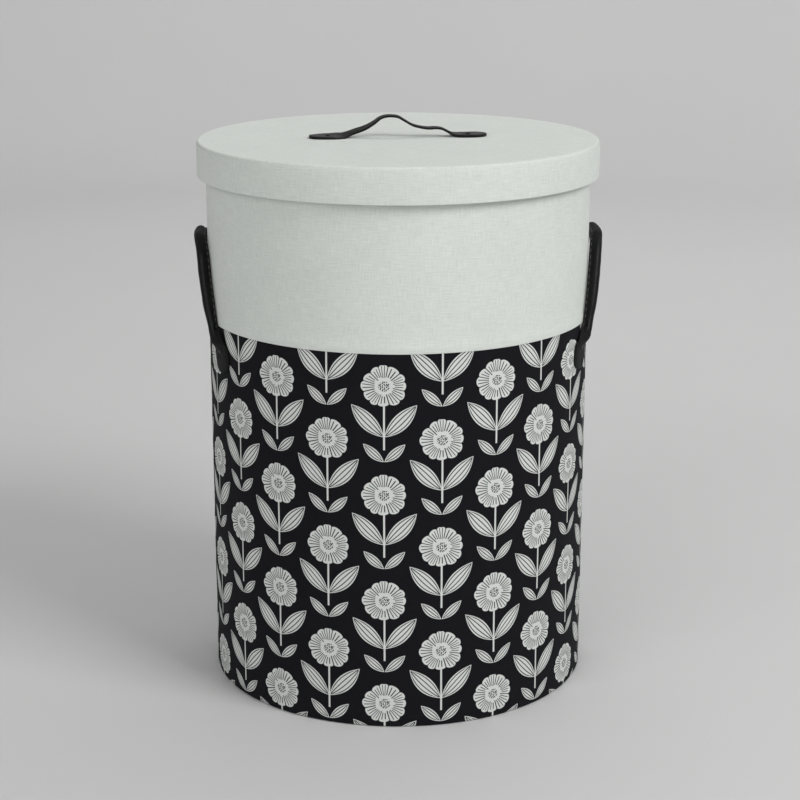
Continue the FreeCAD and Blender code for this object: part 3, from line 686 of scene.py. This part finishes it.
def handle_leather(label, side):
    """The whole strip of one handle. Each section stands across the line of the handle; its out is a
    radius from the box's axis, so that tongues and grip both follow the wall. Its outer face is shifted
    along its normal by creases across the neck, the rivet's seat and rounded edges."""
    along, y, z, across_y, across_z = handle_line(0.9 * MM)
    half, opened, thick, edge, q = strip_shape(along)
    across, out, where, face = strip_section(half, opened, thick)
    x_flat, q_flat = np.abs(where)[None] * half[:, None] / MM, q[:, None] + 0 * across
    outer = (face > 0)[None] * 1.0
    crease_in = groove(x_flat, q_flat, (11.5, 40.0), (1.0, 28.0), 0.75)
    crease_out = groove(x_flat, q_flat, (1.0, 27.0), (8.5, 20.0), 0.9)
    fold_end = groove(x_flat, q_flat, (6.4, 40.6), (5.8, 39.0), 1.2)
    rivet_seat = groove(x_flat, q_flat, (0.0, 16.4), (0.0, 16.6), 3.4)
    bulge = groove(x_flat, q_flat, (0.0, 22.0), (0.0, 25.0), 4.0)
    ripple = np.sin(0.31 * q_flat + 2.4 * where + 1.7 * side) * np.sin(0.117 * q_flat - 3.1 * where)
    dent = 0.6 * crease_in + 0.45 * crease_out + 1.6 * fold_end + 0.45 * rivet_seat - 0.5 * bulge
    dent += 0.11 * ripple * smooth(q_flat, 30, 50)
    from_edge = half[:, None] / MM * (1 - np.abs(where)[None])
    edge_round = 0.5 * (1 - smooth(from_edge, 0, 2.6)) * opened[:, None]
    shift = outer * (dent + edge_round) * MM
    slope_out = np.gradient(out, axis=1)
    slope_across = np.gradient(across, axis=1)
    size = np.hypot(slope_out, slope_across) + 1e-12
    across = across + shift * slope_out / size
    out = out - shift * slope_across / size
    radius = edge[:, None] + out
    place_y, place_z = y[:, None] + across * across_y[:, None], z[:, None] + across * across_z[:, None]
    points = capped(on_wall(side, place_y, place_z, radius))
    flesh_apart = 0.05  # the inner face's flat place, in metres beside the outer's, for its own grain
    flat_x = np.r_[where, where[:1]][None] * half[:, None] + flesh_apart * (1 - np.r_[face, face[:1]][None])
    flat = np.stack(np.broadcast_arrays(flat_x, along[:, None]), axis=-1)
    flat = np.concatenate([flat[:1], flat, flat[-1:]])
    piece = sewn(f"{label}_handle_leather", points, flat, False, True, leather_finish)
    low, high = NECK_Z - 5 * MM, NECK_Z + 7 * MM
    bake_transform(piece)
    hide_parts(f"{label}_grip_leather", f"{label}_front_tab", f"{label}_rear_tab")


for label, side in SIDES.items():
    handle_leather(label, side)


# ------------------------------------------------------------------ cords in the handles
# A soft cotton rope of three strands fills each handle's roll and keeps it round. It is sewn in
# with the leather, and cut off short of the necks.
def cotton():
    """Cream cotton yarn: fine fibres, with painted shade where they are deep."""
    yarn = Finish("cotton_cord", {"Sheen Weight": 0.2})
    place = yarn.place()
    fibre = yarn.noise(place, 1800.0, 4.0)
    # The dark end is painted shade: the fibre noise that sets the relief darkens the colour where it is low.
    shade, cream = (0.3, 0.26, 0.2, 1.0), (0.62, 0.57, 0.48, 1.0)
    return yarn.coat(yarn.mix(fibre, shade, cream), 0.85 + fibre * 0.1, fibre, 0.0002)


def handle_cord(label, side, finish):
    """A rope along the roll's middle: a three-lobed section that turns once in its lay, as thick as the
    roll leaves room for, with closed ends."""
    cut_off, lay = 45 * MM, 26 * MM
    line = handle_line(1.5 * MM)
    strip = strip_shape(line[0])
    inside = (line[0] > cut_off) & (line[0] < line[0][-1] - cut_off)
    along, y, z, across_y, across_z = (values[inside] for values in line)
    size, edge = (strip[0] / STRIP_HALF)[inside], strip[3][inside]
    near = np.minimum(along - along[0], along[-1] - along)
    turn = np.linspace(0, 2 * math.pi, 24, endpoint=False)
    twist = turn[None] + along[:, None] * (2 * math.pi / lay)
    lobes = 2.1 * MM + 0.25 * MM * np.abs(np.cos(1.5 * twist))
    room = (ROLL * size - LAYER / 2) / (ROLL - LAYER / 2)
    lobes = lobes * (room * smooth(near, -0.9 * MM, 1.5 * MM))[:, None]
    across, out = lobes * np.sin(turn), lobes * np.cos(turn)
    fold_depth = ROLL * (1 - math.cos(FOLD_FAR)) - NIP * math.cos(FOLD_FAR) + SEAM
    radius = (edge + (fold_depth - ROLL) * size)[:, None] + out
    place_y, place_z = y[:, None] + across * across_y[:, None], z[:, None] + across * across_z[:, None]
    points = capped(on_wall(side, place_y, place_z, radius))
    piece = sewn(f"{label}_handle_cord", points, None, False, True, finish)
    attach(piece, f"{label}_handle")
    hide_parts(f"{label}_grip_cord")


cord_finish = cotton()
for label, side in SIDES.items():
    handle_cord(label, side, cord_finish)


# ------------------------------------------------------------------ stitching of the handles
# Waxed linen thread in running stitches holds the two layers of each handle together: a stitch
# every 6 mm on both faces, drawn down into the leather at its ends.
def waxed_thread():
    """Waxed linen thread: two plies twisted, slightly glossy, soiled in patches, with painted shade in the
    grooves between the plies.
    """
    thread = Finish("waxed_thread", {"Coat Weight": 0.1})
    place = thread.place()
    soil = thread.noise(place, 300.0, 3.0)
    ply = thread.noise(place, 3500.0, 1.0)
    # The ply noise that sets the relief also darkens the grooves, as painted shade; the soil noise is random
    # soiling.
    colour = thread.mix(soil * 0.6 + ply * 0.4, grey(0.035, 0.04), grey(0.11, 0.05))
    return thread.coat(colour, 0.5 + ply * 0.2, ply, 0.0001)


def facing_out(mesh):
    """Turns every closed shell of a mesh outwards."""
    work = bmesh.new()
    work.from_mesh(mesh)
    bmesh.ops.recalc_face_normals(work, faces=work.faces)
    work.to_mesh(mesh)
    work.free()


def stitches(label, side, finish):
    """Every stitch on one handle as a short arched rod: 11 rings along it, each of 8 points, sunk into
    the leather at both ends. They stand on both faces of the seam, evenly along the handle."""
    pitch, unsewn = 6 * MM, 94 * MM  # from stitch to stitch, and the length of both ends together
    along, y, z, across_y, across_z = handle_line(0.3 * MM)
    count = int(np.floor((along[-1] - unsewn) / pitch)) + 1
    start = along[-1] / 2 + (np.arange(count) - (count - 1) / 2) * pitch
    run = np.linspace(-1, 1, 11)
    uneven = np.sin(np.arange(count) * 2.4)
    length = (1.75 + 0.22 * uneven) * MM
    place = start[:, None] + run[None] * length[:, None]
    lift = (0.42 - 0.75 * run**4) * MM
    ring = np.linspace(0, 2 * math.pi, 8, endpoint=False)
    thick = 0.3 * MM * (1 - 0.25 * run**2)
    radius0 = lap_radius + STANDOFF + 1.6 * MM + 0.1 * MM * np.sin(np.arange(count) * 1.7)
    shells = []
    for face in (1, -1):
        across = face * (LAYER + lift[None, :, None] + thick[None, :, None] * np.cos(ring))
        slant = 0.12 * MM * run[None, :, None] * face
        out = radius0[:, None, None] + slant + thick[None, :, None] * np.sin(ring)
        py, pz, ny, nz = (np.interp(place, along, a)[..., None] for a in (y, z, across_y, across_z))
        shells.append(on_wall(side, py + across * ny, pz + across * nz, out))
    points = np.concatenate(shells)
    shells, rings, sides = points.shape[:3]
    number = np.arange(shells * rings * sides).reshape(shells, rings, sides)
    a, b = number[:, :-1], number[:, 1:]
    walls = np.stack([a, b, np.roll(b, -1, axis=2), np.roll(a, -1, axis=2)], -1).reshape(-1, 4)
    caps = np.concatenate([number[:, 0], number[:, -1, ::-1]])
    mesh = bpy.data.meshes.new(f"{label}_handle_thread")
    mesh.from_pydata(points.reshape(-1, 3).tolist(), [], walls.tolist() + caps.tolist())
    mesh.polygons.foreach_set("use_smooth", np.ones(len(mesh.polygons), bool))
    piece = bpy.data.objects.new(f"{label}_handle_thread", mesh)
    bpy.context.scene.collection.objects.link(piece)
    facing_out(mesh)
    mesh.materials.append(finish)
    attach(piece, f"{label}_handle")
    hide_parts(f"{label}_grip_stitching")


thread_finish = waxed_thread()
for label, side in SIDES.items():
    stitches(label, side, thread_finish)


# ------------------------------------------------------------------ rivets and washers
# Blackened steel rivets go through the leather, the cloth and the board, and are clenched over
# nickel-plated washers inside. They keep the frame's turned shapes.
def metal(name, low, high, roughness, worn):
    """Plated metal: cloudy plating with fine scratches, worn being the scratches' share of its tone."""
    plate = Finish(name, {"Metallic": 1.0})
    place = plate.place()
    cloud = plate.noise(place, 700.0, 4.0)
    drawn_out = plate.node("ShaderNodeMapping", {}, {"Vector": place, "Scale": (900.0, 900.0, 6000.0)})
    scratch = plate.noise(drawn_out, 1.0, 2.0)
    tone = cloud * (1 - worn) + scratch * worn
    height = cloud * 0.5 + scratch * 0.5
    return plate.coat(plate.mix(tone, low, high), roughness + scratch * 0.2, height, 0.00005)


rivet_finish = metal("blackened_steel", grey(0.015), grey(0.07), 0.34, 0.4)
washer_finish = metal("nickel_plate", grey(0.4, 0.05), grey(0.66, 0.04), 0.24, 0.5)
for label in SIDES:
    dress(f"{label}_tab_rivets", rivet_finish)
    dress(f"{label}_tab_washers", washer_finish)
dress("strap_rivets", rivet_finish)
dress("strap_washers", washer_finish)

# ------------------------------------------------------------------ strap on the lid
# A thicker black leather strap, wide where it is riveted and narrow where a hand goes under it. It
# is longer than its span, so it bows up into an uneven wave.
strap_low, strap_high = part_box("lid_strap")
strap_finish = leather("strap_leather", BLACK, WORN_BLACK, 0.36)
STRAP_TURN = math.radians(3.4)
STRAP_THICK = 2.6 * MM
STRAP_HALF_SPAN = 81 * MM
STRAP_HALF, WAIST_HALF = 11.5, 5.5  # millimetres


def strap_line(steps):
    """The strap's middle line as x and height above the lid: corners of the wave joined by a smooth
    curve, each height easing into the next, evenly sampled along its length."""
    rise = strap_high.z - strap_low.z - STRAP_THICK
    corners = np.array(
        [(-1, 0), (-0.63, 0), (-0.52, 0.19), (-0.34, 0.49), (-0.27, 0.68), (-0.2, 0.91), (-0.13, 1)]
        + [(-0.06, 1), (0, 0.95), (0.07, 0.77), (0.16, 0.54), (0.25, 0.42), (0.34, 0.36), (0.43, 0.37)]
        + [(0.49, 0.33), (0.55, 0.2), (0.61, 0.05), (0.67, 0), (1, 0)]
    )
    fine = np.linspace(-1, 1, 1201)
    slopes = np.gradient(corners[:, 1], corners[:, 0])
    cell = np.clip(np.searchsorted(corners[:, 0], fine) - 1, 0, len(corners) - 2)
    (x0, h0), (x1, h1) = corners[cell].T, corners[cell + 1].T
    m0, m1 = slopes[cell] * (x1 - x0), slopes[cell + 1] * (x1 - x0)
    t = (fine - x0) / (x1 - x0)
    height = (2 * t**3 - 3 * t**2 + 1) * h0 + (t**3 - 2 * t**2 + t) * m0
    height = height + (3 * t**2 - 2 * t**3) * h1 + (t**3 - t**2) * m1
    x, z = fine * STRAP_HALF_SPAN, np.maximum(0, height) * rise
    run = np.r_[0, np.cumsum(np.hypot(np.diff(x), np.diff(z)))]
    even = np.linspace(0, run[-1], steps)
    return even, np.interp(even, run, x), np.interp(even, run, z)


def lid_strap():
    """The strap as a closed skin: at each place along its line stands a flat loop with rounded edges,
    as wide as the outline there. The line's own slope tilts it, and a slight twist runs up the rise. Its
    upper face sinks under the rivets and along a pressed line near each edge, and waves a little."""
    run, x, z = strap_line(260)
    slope_x, slope_z = np.gradient(x, run), np.gradient(z, run)
    size = np.hypot(slope_x, slope_z)
    slope_x, slope_z = slope_x / size, slope_z / size
    near = np.minimum(run, run[-1] - run) / MM
    drawn_in = smooth(near, 22.0, 40.0)
    half = STRAP_HALF + (WAIST_HALF - STRAP_HALF) * drawn_in
    half = half * np.sqrt(1 - (1 - np.clip(near / 15, 0, 1)) ** 2.4) * MM
    thick = (STRAP_THICK - 0.7 * MM * drawn_in)[:, None]
    side = np.linspace(-1, 1, 25)
    cap = np.radians(np.linspace(0, 180, 9))[1:-1]
    round_edge = thick / 2
    flat = np.clip(half[:, None] - round_edge, 0.05 * MM, None)
    end = flat + round_edge * np.sin(cap)
    across = np.c_[flat * side, end, flat * side[::-1], -end]
    top = np.r_[side * 0 + 1, np.cos(cap), side * 0 - 1, -np.cos(cap)] * round_edge
    whole = np.r_[side, side[-1] + 0 * cap, side[::-1], side[0] + 0 * cap]
    lift = np.broadcast_to(top, across.shape).copy()
    facing = np.r_[side * 0 + 1, cap * 0, side * 0, cap * 0][None]
    rivet_gap = np.hypot(near[:, None] - 17, across / MM)
    edge_line = (half[:, None] - np.abs(across) - 2.4 * MM) / (0.45 * MM)
    lift -= facing * 0.5 * MM * np.exp(-((rivet_gap / 4.2) ** 2))
    lift -= facing * 0.2 * MM * np.exp(-(edge_line**2))
    lift += facing * 0.12 * MM * np.sin(run[:, None] / MM * 0.21 + across / MM * 0.5)
    twist = np.radians(14.0) * np.exp(-(((x[:, None] + 40 * MM) / (17 * MM)) ** 2))
    turned = across * np.cos(twist) - lift * np.sin(twist)
    across, lift = turned, across * np.sin(twist) + lift * np.cos(twist)
    px = x[:, None] - lift * slope_z[:, None]
    pz = lid_top + STRAP_THICK / 2 + 0.1 * MM + z[:, None] + lift * slope_x[:, None]
    cos, sin = math.cos(STRAP_TURN), math.sin(STRAP_TURN)
    points = capped(np.stack([px * cos - across * sin, px * sin + across * cos, pz], axis=-1))
    u = np.r_[whole, whole[:1]] * STRAP_HALF * MM
    flat_uv = np.stack(np.broadcast_arrays(u[None], run[:, None]), axis=-1)
    flat_uv = np.concatenate([flat_uv[:1], flat_uv, flat_uv[-1:]])
    return sewn("lid_strap_leather", points, flat_uv, False, True, strap_finish)


strap = lid_strap()
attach(strap, "lid")
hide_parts("lid_strap")


# ------------------------------------------------------------------ floor, light and camera
# A pale seamless cove stands all round. One large soft light shines from the right and above, a
# weaker one fills the shade from the left, and a third lights the cove behind the box.
def cove():
    """A round floor that curves up into a wall: its profile is a straight run, a quarter turn and a
    straight run upwards, turned about the box's axis."""
    floor_out, turn, wall_top = 2.8, 1.2, 4.2
    quarter = np.linspace(0, math.pi / 2, 24)
    radius = np.r_[0, 0.5, floor_out + turn * np.sin(quarter), floor_out + turn][:, None]
    height = np.r_[0, 0, turn - turn * np.cos(quarter), wall_top][:, None]
    angle = np.linspace(0, 2 * math.pi, 96, endpoint=False)
    points = np.stack(np.broadcast_arrays(radius * np.cos(angle), radius * np.sin(angle), height), axis=-1)
    ground = Finish("studio_cove", {"Specular IOR Level": 0.15})
    tone = ground.noise(ground.place(), 1.2, 2.0)
    pale, paler = (0.62, 0.615, 0.62, 1.0), (0.66, 0.655, 0.66, 1.0)
    ground.coat(ground.mix(tone, pale, paler), 0.85 + tone * 0.1)
    return sewn("studio_floor", points, None, False, True, ground.material, 0)


cove()


def softbox(name, place, target, size, power, colour):
    """A large square light at a place, facing a target."""
    light = bpy.data.lights.new(name, "AREA")
    light.shape, light.size, light.energy, light.color = "SQUARE", size, power, colour
    lamp = bpy.data.objects.new(name, light)
    lamp.location = place
    ray = mathutils.Vector(target) - mathutils.Vector(place)
    lamp.rotation_euler = ray.to_track_quat("-Z", "Y").to_euler()
    bpy.context.scene.collection.objects.link(lamp)


centre = (0.0, 0.0, 0.3)
softbox("key_light", (2.0, -1.8, 2.3), centre, 1.5, 63.0, (0.99, 1.0, 0.985))
softbox("fill_light", (-1.4, -2.3, 1.4), centre, 2.0, 24.0, (0.985, 1.0, 0.985))
softbox("back_light", (0.5, 1.4, 2.9), (0.5, 3.3, 0.9), 2.0, 35.0, (1.0, 1.0, 0.99))

scene = bpy.context.scene
world = bpy.data.worlds.new("studio_air")
world.use_nodes = True
air = world.node_tree.nodes["Background"].inputs
air["Color"].default_value = (0.985, 1.0, 0.99, 1.0)
air["Strength"].default_value = 0.36
scene.world = world
scene.view_settings.view_transform = "Standard"

camera = bpy.data.objects.new("camera", bpy.data.cameras.new("camera"))
camera.data.lens, camera.data.sensor_width = 88.26, 36.0
camera.location = (-0.079, -1.7774, 0.7446)
camera.rotation_euler = (math.radians(74.58), 0.0, math.radians(-2.6))
scene.collection.objects.link(camera)
scene.camera = camera
